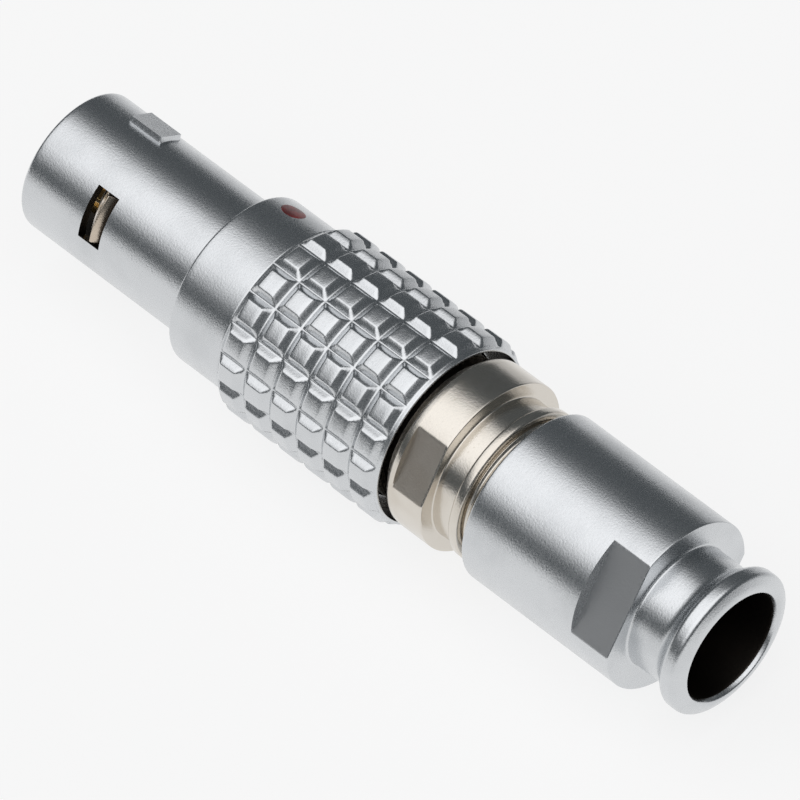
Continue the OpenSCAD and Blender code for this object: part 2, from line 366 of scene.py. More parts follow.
class Graph:
    """Adds the nodes of one material or world."""

    def __init__(self, tree: bpy.types.NodeTree) -> None:
        """Take over a node tree and empty it."""
        self.tree = tree
        tree.nodes.clear()

    @classmethod
    def for_material(cls, name: str) -> tuple[bpy.types.Material, "Graph"]:
        """Make a material, and return it with its emptied graph."""
        material = bpy.data.materials.new(name)
        material.use_nodes = True
        return material, cls(material.node_tree)

    def node(
        self,
        kind: str,
        settings: Mapping[str, Any] | None = None,
        inputs: Mapping[str | int, Any] | None = None,
    ) -> bpy.types.Node:
        """Add a node.

        Args:
            kind: the node's type.
            settings: its settings, set first.
            inputs: values or links for its sockets, by name or number.

        Returns:
            The node.
        """
        made = self.tree.nodes.new(kind)
        for key, value in (settings or {}).items():
            setattr(made, key, value)
        for key, value in (inputs or {}).items():
            self.plug(made.inputs[key], value)
        return made

    def plug(self, socket: bpy.types.NodeSocket, value: Any) -> None:
        """Link a socket or set its value."""
        if isinstance(value, Value):
            value = value.socket
        if isinstance(value, bpy.types.NodeSocket):
            self.tree.links.new(value, socket)
        elif isinstance(value, tuple) and len(value) == 3 and socket.type == "RGBA":
            socket.default_value = (*value, 1.0)
        else:
            socket.default_value = value

    def number(self, kind: str, settings: Mapping[str, Any], inputs: Mapping[str | int, Any],
               output: str | int = 0) -> "Value":
        """Add a node and return one of its outputs as a number to reckon with."""
        return Value(self, self.node(kind, settings, inputs).outputs[output])

    def noise(self, where: Any, scale: float, detail: float = 2.0, rough: float = 0.5) -> "Value":
        """Return soft noise from 0 to 1.

        Args:
            where: the vector that the noise is read at.
            scale: how many blotches lie along a metre.
            detail: how many finer octaves there are.
            rough: how strong the finer ones are.

        Returns:
            The noise.
        """
        return self.number("ShaderNodeTexNoise", {"noise_dimensions": "3D"},
                           {"Vector": where, "Scale": scale, "Detail": detail, "Roughness": rough})

    def blend(self, factor: Any, first: Any, second: Any, how: str = "MIX") -> bpy.types.NodeSocket:
        """Return two colours mixed by factor."""
        mixed = self.node("ShaderNodeMix", {"data_type": "RGBA", "blend_type": how},
                          {"Factor": factor, 6: first, 7: second})
        return mixed.outputs[2]

    def stretch(self, where: Any, scale: Colour) -> bpy.types.NodeSocket:
        """Return a vector scaled by a different number on each axis."""
        return self.node("ShaderNodeVectorMath", {"operation": "MULTIPLY"},
                         {0: where, 1: scale}).outputs[0]

    def place(self) -> bpy.types.NodeSocket:
        """Return the point's place on the object, in metres."""
        return self.node("ShaderNodeTexCoord").outputs["Object"]


class Value:
    """A number in the shader, which Python's operators work on."""

    def __init__(self, graph: Graph, socket: bpy.types.NodeSocket) -> None:
        """Wrap a socket."""
        self.graph = graph
        self.socket = socket

    def _math(self, operation: str, first: Any, second: Any = None) -> "Value":
        """Add one Math node and return its result."""
        inputs = {0: first} if second is None else {0: first, 1: second}
        return self.graph.number("ShaderNodeMath", {"operation": operation}, inputs)

    def __add__(self, other: Any) -> "Value":
        """Return self + other."""
        return self._math("ADD", self, other)

    __radd__ = __add__

    def __sub__(self, other: Any) -> "Value":
        """Return self - other."""
        return self._math("SUBTRACT", self, other)

    def __rsub__(self, other: Any) -> "Value":
        """Return other - self."""
        return self._math("SUBTRACT", other, self)

    def __mul__(self, other: Any) -> "Value":
        """Return self * other."""
        return self._math("MULTIPLY", self, other)

    __rmul__ = __mul__

    def above(self, low: float, high: float) -> "Value":
        """Return 0 below low and 1 above high, with a smooth rise between."""
        return self.graph.number("ShaderNodeMapRange", {"interpolation_type": "SMOOTHSTEP"},
                                 {"Value": self, "From Min": low, "From Max": high})

    def highest(self, other: Any) -> "Value":
        """Return the higher of self and other."""
        return self._math("MAXIMUM", self, other)


# ---------------------------------------------------------------- finishes


@dataclass(frozen=True)
class PlatedMetal:
    """A plated, turned metal: its grain, its turning marks and its faint stains."""

    name: str
    colour: Colour
    stain: Colour
    roughness: float
    grain: float = 0.6
    marks: float = 0.05
    marks_per_mm: float = 9.0
    stained: float = 0.35
    rough_spread: float = 0.16
    grain_per_m: float = 10500.0
    cloud_per_m: float = 420.0
    speck_per_m: float = 5200.0
    relief: float = 2e-5

    def build(self) -> bpy.types.Material:
        """Build the material and return it."""
        material, g = Graph.for_material(self.name)
        where = g.place()
        along = g.stretch(where, (self.marks_per_mm * 1000, 130.0, 130.0))
        marks = g.noise(along, 1.0, 3.0, 0.65)
        grain = g.noise(where, self.grain_per_m, 3.0, 0.62)
        cloud = g.noise(where, self.cloud_per_m, 3.0, 0.55)
        speck = g.noise(where, self.speck_per_m, 2.0, 0.5).above(0.66, 0.76)
        stain = cloud.above(0.42, 0.78) * self.stained
        shade = g.blend(stain, self.colour, self.stain)
        shade = g.blend(speck * 0.28, shade, self.stain)
        uneven = (cloud - 0.5) * 0.6 + (marks - 0.5) * self.marks * 2.0 + (grain - 0.5)
        rough = self.roughness + uneven * self.rough_spread
        height = grain * self.grain + marks * self.marks
        bump = g.node("ShaderNodeBump", None, {"Strength": 0.55, "Distance": self.relief, "Height": height})
        shader = g.node("ShaderNodeBsdfPrincipled", None, {
            "Base Color": shade, "Metallic": 1.0, "Roughness": rough, "Normal": bump.outputs[0]})
        g.node("ShaderNodeOutputMaterial", None, {"Surface": shader.outputs[0]})
        return material


@dataclass(frozen=True)
class MouldedPlastic:
    """A dark moulded insulator with a fine matt skin."""

    name: str
    colour: Colour
    pale: Colour

    def build(self) -> bpy.types.Material:
        """Build the material and return it."""
        material, g = Graph.for_material(self.name)
        where = g.place()
        skin = g.noise(where, 16000.0, 3.0, 0.6)
        cloud = g.noise(where, 900.0, 2.0, 0.5)
        shade = g.blend(cloud.above(0.35, 0.75), self.colour, self.pale)
        bump = g.node("ShaderNodeBump", None, {"Strength": 0.35, "Distance": 8e-6, "Height": skin})
        shader = g.node("ShaderNodeBsdfPrincipled", None, {
            "Base Color": shade, "Roughness": 0.42 + (skin - 0.5) * 0.3, "Normal": bump.outputs[0]})
        g.node("ShaderNodeOutputMaterial", None, {"Surface": shader.outputs[0]})
        return material


@dataclass(frozen=True)
class FilledLacquer:
    """A drop of gloss lacquer that fills a small seat."""

    name: str
    colour: Colour
    deep: Colour

    def build(self) -> bpy.types.Material:
        """Build the material and return it."""
        material, g = Graph.for_material(self.name)
        where = g.place()
        flow = g.noise(where, 2600.0, 2.0, 0.5)
        shade = g.blend(flow.above(0.3, 0.7), self.deep, self.colour)
        bump = g.node("ShaderNodeBump", None, {"Strength": 0.25, "Distance": 1e-5, "Height": flow})
        shader = g.node("ShaderNodeBsdfPrincipled", None, {
            "Base Color": shade, "Roughness": 0.30 + flow * 0.12, "Coat Weight": 0.4,
            "Coat Roughness": 0.12, "Normal": bump.outputs[0]})
        g.node("ShaderNodeOutputMaterial", None, {"Surface": shader.outputs[0]})
        return material


class Finishes:
    """Every finish of the plug, made once."""

    def __init__(self) -> None:
        """Build the materials."""
        chrome, dull = (0.67, 0.685, 0.70), (0.52, 0.535, 0.55)
        nickel, brown = (0.705, 0.665, 0.605), (0.50, 0.43, 0.345)
        self.made = {
            Slot.SHELL: PlatedMetal("satin_chrome_shell", chrome, dull, 0.27).build(),
            Slot.NUT: PlatedMetal("satin_chrome_nut", chrome, dull, 0.27,
                                  marks=0.16, marks_per_mm=7.0).build(),
            Slot.SLEEVE: PlatedMetal("nickel_sleeve", nickel, brown, 0.21, grain=0.45).build(),
            # Painted shade: the fingers' nickel is a darker, browner copy of the sleeve's nickel, standing
            # in for the shade on the latch heads deep in the windows.
            Slot.FINGER: PlatedMetal("nickel_finger", (0.66, 0.57, 0.47), (0.42, 0.34, 0.26), 0.26).build(),
            Slot.BUSHING: PlatedMetal("bushing_metal", (0.60, 0.56, 0.49), brown, 0.30).build(),
            Slot.COLLET: PlatedMetal("collet_metal", (0.44, 0.38, 0.30), (0.30, 0.24, 0.18), 0.34).build(),
            Slot.CONTACT: PlatedMetal("gold_contact", (0.80, 0.58, 0.26), (0.60, 0.40, 0.17), 0.22,
                                      grain=0.2, stained=0.2).build(),
            Slot.INSULATOR: MouldedPlastic("dark_insulator", (0.030, 0.024, 0.020),
                                           (0.055, 0.043, 0.034)).build(),
            Slot.DOT: FilledLacquer("red_index", (0.24, 0.005, 0.005), (0.10, 0.003, 0.003)).build(),
        }
        self.details = {
            Detail.NUT_FLAT: PlatedMetal("milled_chrome_flat", (0.50, 0.51, 0.52), (0.40, 0.41, 0.42), 0.40,
                                         grain=0.9, marks=0.0).build(),
            Detail.COLLAR_FLAT: PlatedMetal("milled_nickel_flat", (0.52, 0.48, 0.43), (0.36, 0.31, 0.25),
                                            0.36, grain=0.8, marks=0.0).build(),
            # Painted shade: a near-black colour on the bores and the window walls, standing in for the shade
            # inside them.
            Detail.PAINTED_SHADE_BORE: PlatedMetal("dark_bore", (0.060, 0.052, 0.045), (0.030, 0.026, 0.022), 0.45,
                                     marks=0.0).build(),
        }

    def dress(self, piece: bpy.types.Object, slot: Slot) -> None:
        """Give a new piece its finish."""
        piece.data.materials.clear()
        piece.data.materials.append(self.made[slot])

    def detail(self, piece: bpy.types.Object, kind: Detail, holds: Callable[[Vector, Vector], bool]) -> None:
        """Give some of a piece's faces a finish of their own.

        Args:
            piece: the piece, which has its main finish already.
            kind: the finish.
            holds: says, by a face's middle and normal, whether it is one of them.
        """
        piece.data.materials.append(self.details[kind])
        last = len(piece.data.materials) - 1
        for face in piece.data.polygons:
            if holds(face.center, face.normal):
                face.material_index = last

    def redress(self, node: str, slot: Slot) -> None:
        """Give a kept CAD node a finish, in every slot that it has."""
        piece = bpy.data.objects[node]
        if not piece.material_slots:
            piece.data.materials.append(self.made[slot])
        for place in piece.material_slots:
            place.material = self.made[slot]


# -------------------------------------------------------------- the shell


@dataclass
class OuterShell:
    """The sliding outer shell: keyed nose, latch windows, sleeve band and toothed grip."""

    axis: PlugAxis
    nose_r: float = 3.475
    nose_bore_r: float = 3.0
    tip_round: float = 0.35
    sleeve_s: float = 10.03
    sleeve_r: float = 4.25
    knurl_s: float = 13.24
    pitch: float = 1.59
    rows: int = 6
    teeth: int = 18
    grip_r: float = 4.75
    depth: float = 0.30
    flank: float = 0.36
    valley_floor: float = 0.10
    rim_s: float = 22.95
    rim_bore_r: float = 4.3
    rim_bore_s: float = 21.7
    bore_r: float = 3.75
    step_s: float = 14.0
    key_angle: float = -34.0
    key_s: float = 2.15
    key_len: float = 1.85
    key_w: float = 1.3
    key_h: float = 0.2
    key_slope: float = 0.07
    window_s: float = 3.59
    window_len: float = 1.26
    window_w: float = 2.6
    window_angle: float = 56.0
    warp_reach: float = 50.0
    warp_end_s: float = 6.0

    def tooth_lines(self) -> list[float]:
        """Return how far from a valley's middle the mesh lines of half a tooth lie, in mm."""
        f, k = self.valley_floor / 2, self.flank
        return [0.0, f * 0.4, f, f * 1.7, (f + k) / 2, k - 0.035, k + 0.01, k + 0.055, k + 0.24]

    def columns(self) -> list[float]:
        """Return the angles of the mesh columns, in degrees."""
        step = 360 / self.teeth
        angles: list[float] = []
        for tooth in range(self.teeth):
            valley = (tooth + 0.5) * step
            for line in self.tooth_lines():
                off = math.degrees(line / self.grip_r)
                angles.extend({(valley - off) % 360, (valley + off) % 360})
            angles.append((tooth * step) % 360)
        extra: list[float] = []
        half = math.degrees(math.asin(self.window_w / 2 / self.nose_r))
        for turn in (0, 180):
            extra += [(self.window_angle + turn + side * half) % 360 for side in (-1, 1)]
        for reach in (self.key_w / 2 - 0.03, self.key_w / 2, self.key_w / 2 + self.key_slope,
                      self.key_w / 2 + self.key_slope + 0.03):
            off = math.degrees(reach / self.nose_r)
            extra += [(self.key_angle + side * off) % 360 for side in (-1, 1)]
        return with_lines(sorted(set(angles)), extra, 0.12)

    def grip_stations(self) -> list[float]:
        """Return the stations of the mesh rows along the grip."""
        stations: set[float] = set()
        for k in range(self.rows + 1):
            valley = self.knurl_s + k * self.pitch
            for line in self.tooth_lines():
                for side in (-1, 1):
                    s = round(valley + side * line, 5)
                    if self.knurl_s - self.valley_floor / 2 <= s < self.rim_s - 0.09:
                        stations.add(s)
            if k < self.rows:
                stations.add(round(valley + self.pitch / 2, 5))
        return sorted(stations)

    def outer_points(self) -> list[Point]:
        """Return the outline of the outside, from the tip to the rear rim."""
        nose = outline([
            Corner(0.0, self.nose_bore_r + 0.12), Corner(0.0, self.nose_r, self.tip_round),
            Corner(self.sleeve_s, self.nose_r, 0.05), Corner(self.sleeve_s, self.sleeve_r, 0.13),
            Corner(self.knurl_s - 0.1, self.sleeve_r, 0.03),
            Corner(self.knurl_s - self.valley_floor / 2, self.grip_r - self.depth),
        ], closed=False, steps=6)
        key_end, slope = self.key_s + self.key_len, self.key_slope
        stations = [self.key_s - slope - 0.03, self.key_s - slope, self.key_s, self.key_s + 0.03,
                    (self.key_s + key_end) / 2 - 0.4,
                    key_end - 0.03, key_end, key_end + slope, key_end + slope + 0.03]
        window_end = self.window_s + self.window_len
        stations += [self.window_s - 0.03, self.window_s, window_end - 0.42,
                     window_end, window_end + 0.03]
        low = [p for p in nose if p[0] < self.key_s - 0.2]
        high = [p for p in nose if p[0] > window_end + 0.2]
        grip = [(s, self.grip_r - self.depth) for s in self.grip_stations()]
        middle = [(s, self.nose_r) for s in sorted(stations)]
        return low + middle + high + [p for p in grip if p[0] > high[-1][0]]

    def inner_points(self) -> list[Point]:
        """Return the outline of the rear rim and the bore, from the rim back to the tip."""
        window_end = self.window_s + self.window_len
        valley = self.grip_r - self.depth
        rear = outline([
            Corner(self.rim_s - 0.1, valley), Corner(self.rim_s, valley, 0.05),
            Corner(self.rim_s, self.rim_bore_r, 0.04), Corner(self.rim_bore_s, self.rim_bore_r, 0.02),
            Corner(self.rim_bore_s, self.bore_r, 0.05), Corner(self.step_s, self.bore_r, 0.05),
            Corner(self.step_s, self.nose_bore_r, 0.05), Corner(window_end + 1.0, self.nose_bore_r),
        ], closed=False)
        tip = [(s, self.nose_bore_r) for s in (window_end, window_end - 0.42, self.window_s,
                                               self.window_s - 0.4, 0.2)]
        return rear + tip + [(0.12, self.nose_bore_r), (0.05, self.nose_bore_r + 0.04)]

    def tooth_height(self, station: float, angle: float) -> float:
        """Return how far the grip stands above its valleys at a point, in mm."""
        last = self.knurl_s + self.rows * self.pitch
        rise = self.depth / (self.flank - self.valley_floor / 2)
        ring = (station - self.knurl_s) / self.pitch
        ring_off = abs(ring - round(ring)) * self.pitch
        if station > last:
            ring_off = 0.0
        step = 360 / self.teeth
        turn = angle / step - 0.5
        long_off = math.radians(abs(turn - round(turn)) * step) * self.grip_r
        by_ring = (ring_off - self.valley_floor / 2) * rise
        by_long = 0.01 + (long_off - self.valley_floor / 2) * rise
        height = soft_min(by_ring, by_long, 0.05)
        return soft_max(soft_min(height, self.depth, 0.05), 0.0, 0.03)

    def key_height(self, station: float, angle: float) -> float:
        """Return the height of the key above the nose at a point, in mm."""
        side = abs(math.radians(angle_off(angle, self.key_angle))) * self.nose_r - self.key_w / 2
        end = abs(station - self.key_s - self.key_len / 2) - self.key_len / 2
        out = max(side, end)
        if out >= self.key_slope:
            return 0.0
        off = math.radians(angle_off(angle, self.key_angle))
        top = (self.nose_r + self.key_h) / math.cos(off) - self.nose_r
        return top * min(1.0, 1.0 - out / self.key_slope)

    def window_warp(self, radius: float, angle: float) -> float:
        """Return the angle at which a column passes the windows, so that their walls stay parallel."""
        edge = math.degrees(math.asin(self.window_w / 2 / self.nose_r))
        here = math.degrees(math.asin(self.window_w / 2 / radius))
        for turn in (0, 180):
            off = angle_off(angle, self.window_angle + turn)
            size = abs(off)
            if size < self.warp_reach:
                if size <= edge:
                    moved = size * here / edge
                else:
                    moved = here + (size - edge) * (self.warp_reach - here) / (self.warp_reach - edge)
                return self.window_angle + turn + math.copysign(moved, off)
        return angle

    def place(self, skin: Skin, station: float, radius: float, angle: float) -> tuple[float, float, float]:
        """Shape one point of the shell.

        Args:
            skin: whether the point is outside or in the bore.
            station: its station, in mm.
            radius: its plain turned radius, in mm.
            angle: its angle, in degrees.

        Returns:
            The shaped station, radius and angle.
        """
        if skin is Skin.INNER:
            in_nose = radius < self.nose_bore_r + 0.1 and station < self.warp_end_s
            return station, radius, self.window_warp(radius, angle) if in_nose else angle
        if station < self.sleeve_s:
            return station, radius + self.key_height(station, angle), angle
        if station >= self.knurl_s - self.valley_floor / 2 - 1e-6:
            return station, radius + self.tooth_height(station, angle), angle
        return station, radius, angle

    def build(self) -> bpy.types.Object:
        """Build the shell's mesh and return the piece."""
        angles = self.columns()
        outer, inner = self.outer_points(), self.inner_points()
        skin = RingMesh(self.axis, angles)
        for side, points in ((Skin.OUTER, outer), (Skin.INNER, inner)):
            for s, r in points:
                skin.add_row(lambda a, side=side, s=s, r=r: self.place(side, s, r, a))
        window_end = self.window_s + self.window_len
        stations = [p[0] for p in outer + inner]
        count = len(angles)
        half = math.degrees(math.asin(self.window_w / 2 / self.nose_r))

        def in_window(i: int) -> bool:
            """Say whether the face right of column i lies in a window."""
            middle = angles[i] + ((angles[(i + 1) % count] - angles[i]) % 360) / 2
            return any(abs(angle_off(middle, self.window_angle + t)) < half for t in (0, 180))

        open_rows = {
            j for j in range(len(stations) - 1)
            if min(stations[j], stations[j + 1]) >= self.window_s - 1e-6
            and max(stations[j], stations[j + 1]) <= window_end + 1e-6
        }
        skin.skin(True, lambda j, i: j in open_rows and in_window(i))
        edge_rows = sorted({*open_rows, *(j + 1 for j in open_rows)})
        outside = [j for j in edge_rows if j < len(outer)]
        inside = [j for j in edge_rows if j >= len(outer)][::-1]
        for turn in (0, 180):
            inner_columns = [i for i in range(count)
                             if abs(angle_off(angles[i], self.window_angle + turn)) <= half + 1e-4]
            inner_columns.sort(key=lambda i: angle_off(angles[i], self.window_angle + turn))
            for a, b in ((outside[0], inside[0]), (outside[-1], inside[-1])):
                skin.wall([skin.rows[a][i] for i in inner_columns], [skin.rows[b][i] for i in inner_columns])
            for i in (inner_columns[0], inner_columns[-1]):
                rim = outside + inside[::-1]
                skin.bm.faces.new([skin.rows[j][i] for j in rim])
        return piece_from(skin.bm, "outer_shell_turned", 42.0)

    def is_inside(self, spot: Vector, normal: Vector) -> bool:
        """Say whether a face of the shell lies in its bore or in a window's wall."""
        station, radius = self.axis.measure(spot)
        outward = self.axis.outward(spot, normal)
        window_end = self.window_s + self.window_len
        if self.window_s - 0.01 < station < window_end + 0.01 and radius < self.nose_r - 0.01:
            return outward < 0.5
        return outward < -0.5 and station > 0.5

    def dress(self, piece: bpy.types.Object, finishes: Finishes) -> None:
        """Finish the shell and let it stand for its CAD node."""
        finishes.dress(piece, Slot.SHELL)
        # The shell's bore and window walls get the painted shade.
        finishes.detail(piece, Detail.PAINTED_SHADE_BORE, self.is_inside)
        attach(piece, Body.SHELL.value)
        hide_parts("outer_shell")


@dataclass
class IndexDot:
    """The lacquer drop that marks the key's side of the sleeve band."""

    axis: PlugAxis
    station: float = 11.27
    radius: float = 0.62
    band_r: float = 4.25
    angle: float = -34.0
    crown: float = 0.012
    rim_drop: float = 0.03

    def build(self) -> bpy.types.Object:
        """Build the drop's mesh and return the piece."""
        bm = bmesh.new()
        rings = [0.25, 0.5, 0.72, 0.86, 0.93, 0.97, 1.0]
        columns = 48
        centre = bm.verts.new(self.axis.point(self.station, self.band_r + self.crown, self.angle))
        rows = []
        for part in rings:
            rise = self.crown * (1 - part ** 4) - self.rim_drop * max(0.0, part - 0.93) / 0.07
            row = []
            for n in range(columns):
                turn = 2 * math.pi * n / columns
                along, across = part * self.radius * math.cos(turn), part * self.radius * math.sin(turn)
                angle = self.angle + math.degrees(across / self.band_r)
                row.append(bm.verts.new(self.axis.point(self.station + along, self.band_r + rise, angle)))
            rows.append(row)
        for n in range(columns):
            m = (n + 1) % columns
            bm.faces.new((centre, rows[0][n], rows[0][m]))
            for here, ahead in zip(rows, rows[1:]):
                bm.faces.new((here[n], ahead[n], ahead[m], here[m]))
        return piece_from(bm, "index_dot_lacquer")

    def dress(self, piece: bpy.types.Object, finishes: Finishes) -> None:
        """Finish the drop and let it stand for its CAD node."""
        finishes.dress(piece, Slot.DOT)
        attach(piece, Body.SHELL.value)
        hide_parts("index_dot")


# -------------------------------------------------------- the latch sleeve


@dataclass
class LatchSleeve:
    """The nickel sleeve inside the shell: collar with flats, bead and rear thread."""

    axis: PlugAxis
    front_s: float = 11.75
    front_bore_r: float = 2.5
    latch_r: float = 2.95
    step_s: float = 15.0
    body_r: float = 3.68
    collar_s: float = 23.1
    collar_r: float = 4.25
    collar_round: float = 0.4
    collar_end_s: float = 25.4
    groove_r: float = 3.55
    bead_s: float = 26.58
    bead_len: float = 0.5
    bead_r: float = 3.82
    thread_r: float = 3.45
    thread_pitch: float = 0.5
    thread_depth: float = 0.27
    end_s: float = 31.0
    bore_r: float = 3.0
    flats: WrenchFlats = WrenchFlats(across=7.92, roll=56.0, start=23.66, stop=25.4)

    def points(self) -> list[Point]:
        """Return the sleeve's closed outline."""
        bead_end = self.bead_s + self.bead_len
        front = outline([
            Corner(self.front_s, self.front_bore_r), Corner(self.front_s, self.latch_r, 0.04),
            Corner(self.step_s, self.latch_r, 0.03), Corner(self.step_s, self.body_r, 0.06),
            Corner(self.collar_s - 0.25, self.body_r, 0.03),
            Corner(self.collar_s, self.collar_r - self.collar_round, 0.02),
            Corner(self.collar_s + 0.17, self.collar_r - 0.03, 0.22),
            Corner(self.flats.start - 0.012, self.collar_r),
        ], closed=False)
        flat = [(self.flats.start + 0.001, self.collar_r), (self.flats.start + 0.06, self.collar_r),
                (self.collar_end_s - 0.14, self.collar_r)]
        rear = outline([
            Corner(self.collar_end_s - 0.10, self.collar_r), Corner(self.collar_end_s, self.collar_r, 0.06),
            Corner(self.collar_end_s, self.groove_r, 0.08), Corner(self.bead_s, self.groove_r, 0.04),
            Corner(self.bead_s, self.bead_r, 0.14), Corner(bead_end, self.bead_r, 0.14),
            Corner(bead_end, self.thread_r - 0.12, 0.03), Corner(bead_end + 0.08, self.thread_r - 0.12),
        ], closed=False)
        rows = int((self.end_s - 0.2 - bead_end - 0.1) / self.thread_pitch * 14)
        start = bead_end + 0.1
        thread = [(start + (self.end_s - 0.2 - start) * n / rows, self.thread_r) for n in range(rows + 1)]
        back = outline([
            Corner(self.end_s - 0.19, self.thread_r - self.thread_depth * 0.5),
            Corner(self.end_s, self.thread_r - 0.25, 0.03), Corner(self.end_s, self.bore_r, 0.03),
            Corner(self.step_s + 0.15, self.bore_r, 0.02),
            Corner(self.step_s + 0.15, self.front_bore_r, 0.02),
            Corner(self.step_s, self.front_bore_r),
        ], closed=False)
        return front + flat + rear + thread + back

    def shape(self, station: float, radius: float, angle: float) -> tuple[float, float, float]:
        """Cut the flats and the thread into the plain turned sleeve."""
        start = self.bead_s + self.bead_len + 0.1
        if radius > self.body_r:
            radius = self.flats.cut(station, radius, angle)
        if start - 1e-6 <= station <= self.end_s - 0.2 + 1e-6 and radius > self.bore_r + 0.1:
            turn = (station / self.thread_pitch + angle / 360) % 1
            groove = max(0.0, 1 - abs(turn - 0.5) / 0.42)
            fade = min(1.0, (station - start) / 0.25)
            radius -= self.thread_depth * min(1.0, groove * 1.25) * fade
        return station, radius, angle

    def build(self) -> bpy.types.Object:
        """Build the sleeve's mesh and return the piece."""
        angles = with_lines(even_angles(160), self.flats.lines(self.collar_r), 0.6)
        return turned("latch_sleeve_turned", self.axis, self.points(), angles, self.shape, sharp=46.0)

    def dress(self, piece: bpy.types.Object, finishes: Finishes) -> None:
        """Finish the sleeve and let it stand for its CAD node."""
        finishes.dress(piece, Slot.SLEEVE)
        finishes.detail(piece, Detail.COLLAR_FLAT, lambda spot, _normal: self.flats.holds(spot, self.axis))
        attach(piece, Body.CORE.value)
        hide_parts("latch_sleeve")


@dataclass
class LatchFinger:
    """One sprung finger with the latch head that stands in a window."""

    axis: PlugAxis
    letter: str
    angle: float
    body: Body
    front_s: float = 3.78
    root_s: float = 11.7
    thickness: float = 0.37
    outer_r: float = 2.95
    crest_r: float = 3.52
    width: float = 2.36

    def points(self) -> list[Point]:
        """Return the finger's closed outline along the plug."""
        inner_r = self.outer_r - self.thickness
        return outline([
            Corner(self.front_s, inner_r, 0.03), Corner(self.front_s, inner_r + 0.28, 0.04),
            Corner(self.front_s + 0.5, self.crest_r - 0.02, 0.03),
            Corner(self.front_s + 0.56, self.crest_r, 0.03),
            Corner(self.front_s + 0.92, self.crest_r - 0.4, 0.03),
            Corner(self.front_s + 0.92, self.outer_r, 0.04),
            Corner(self.root_s, self.outer_r, 0.04), Corner(self.root_s, inner_r, 0.04),
        ])

    def build(self) -> bpy.types.Object:
        """Build the finger's mesh and return the piece."""
        bm = bmesh.new()
        points = self.points()
        middle_r = self.outer_r - self.thickness / 2
        half = self.width / 2
        lines = [-half, -half + 0.03, -half + 0.06, -half * 0.66, -half * 0.33, 0.0,
                 half * 0.33, half * 0.66, half - 0.06, half - 0.03, half]
        columns = []
        for across in lines:
            inset = 0.03 if abs(across) > half - 0.01 else 0.0
            column = []
            for s, r in points:
                r_in = r - math.copysign(inset, r - middle_r)
                s_in = min(max(s, self.front_s + inset), self.root_s - inset)
                lift = math.sqrt(max(r_in * r_in - across * across, 0.01))
                column.append(bm.verts.new(self.axis.point(
                    s_in, math.hypot(lift, across), self.angle + math.degrees(math.atan2(across, lift)))))
            columns.append(column)
        count = len(points)
        for here, ahead in zip(columns, columns[1:]):
            for n in range(count):
                m = (n + 1) % count
                bm.faces.new((here[n], here[m], ahead[m], ahead[n]))
        bm.faces.new(columns[0])
        bm.faces.new(columns[-1])
        return piece_from(bm, f"latch_finger_{self.letter}_milled", 46.0)

    def dress(self, piece: bpy.types.Object, finishes: Finishes) -> None:
        """Finish the finger and let it stand for its CAD node."""
        finishes.dress(piece, Slot.FINGER)
        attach(piece, self.body.value)
        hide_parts(f"latch_finger_{self.letter}")


# ------------------------------------------------------------ the back nut


